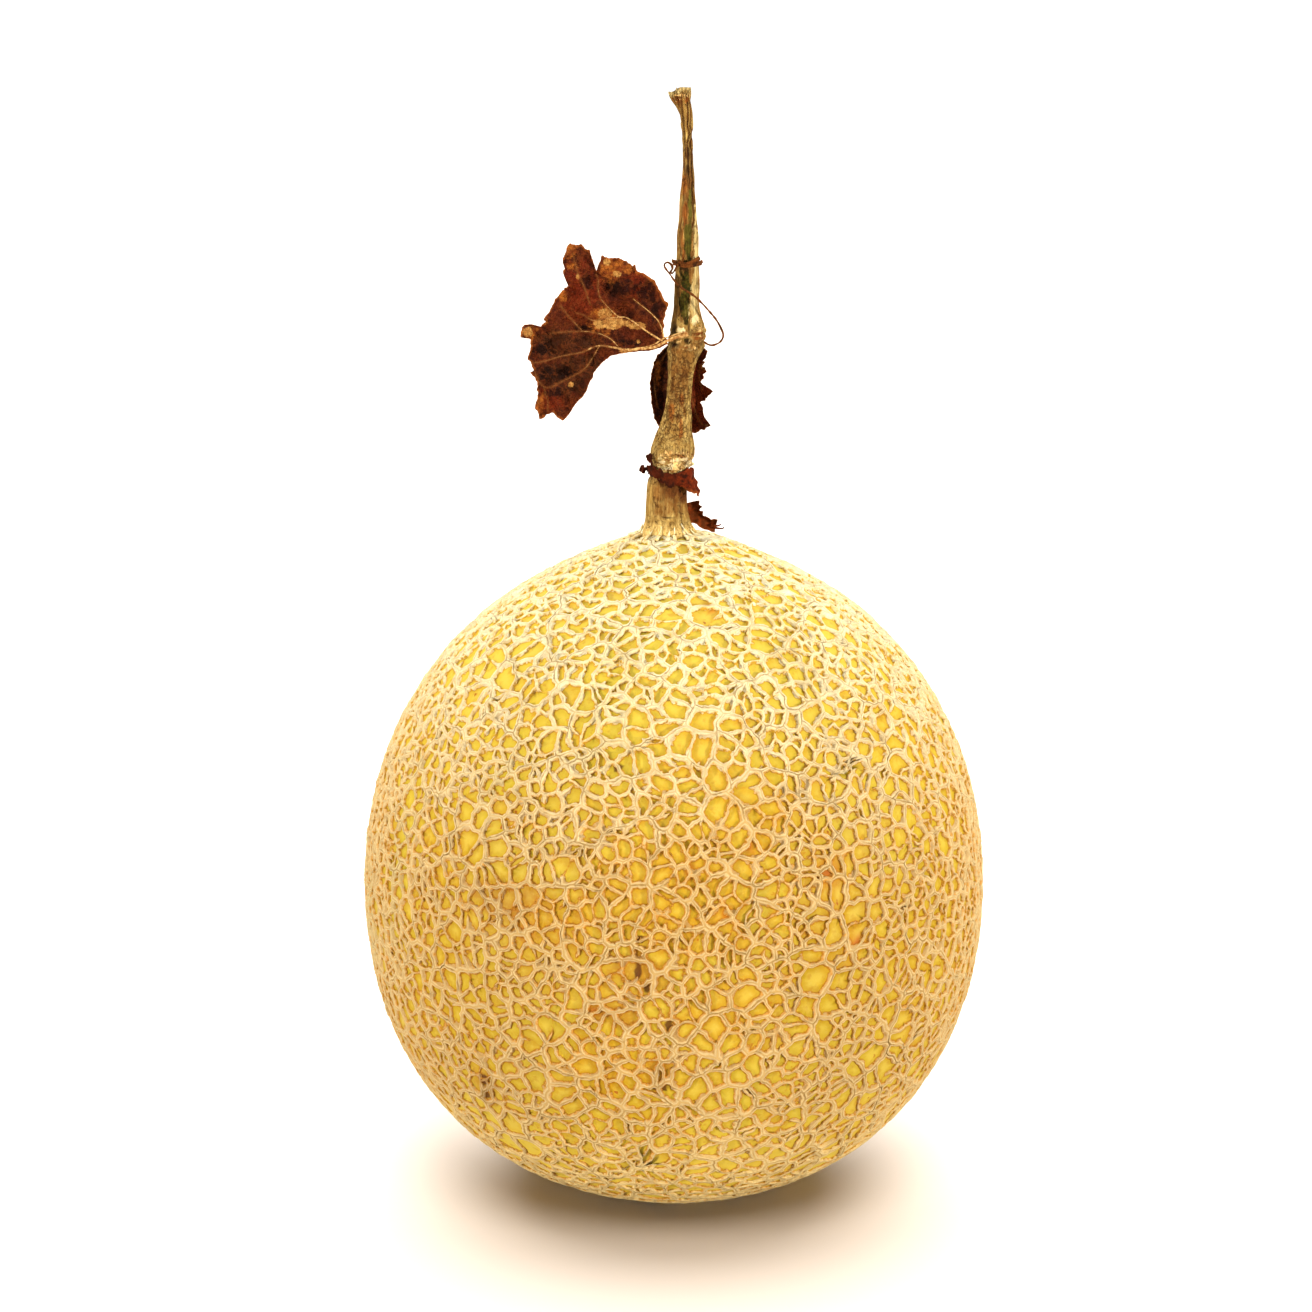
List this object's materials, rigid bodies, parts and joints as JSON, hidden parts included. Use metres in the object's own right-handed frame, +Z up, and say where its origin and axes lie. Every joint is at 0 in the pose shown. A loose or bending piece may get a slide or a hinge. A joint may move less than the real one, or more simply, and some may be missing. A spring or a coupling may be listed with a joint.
{
  "type": "cantaloupe melon",
  "caption": "Whole netted cantaloupe melon standing on its base, with a dried upright vine stem, withered leaves and a tendril.",
  "frame": {"origin": "middle of the flat spot that the melon stands on", "axes": "+Z up along the melon's axis, towards the stem; +X to the right and -Y to the front, with the side leaf on the -X side"},
  "size_m": [0.1498, 0.1482, 0.2637],
  "materials": {
    "rind": "matte",
    "vine": "matte",
    "dry_leaf": "matte",
    "dark_leaf": "matte",
    "tendril": "matte"
  },
  "bodies": {
    "root": {"fruit": "rind", "stem": "vine", "side_leaf": "dry_leaf", "back_leaf": "dry_leaf", "leaf_base": "dark_leaf", "leaf_scrap": "dark_leaf", "tendril": "tendril"}
  },
  "joints": []
}
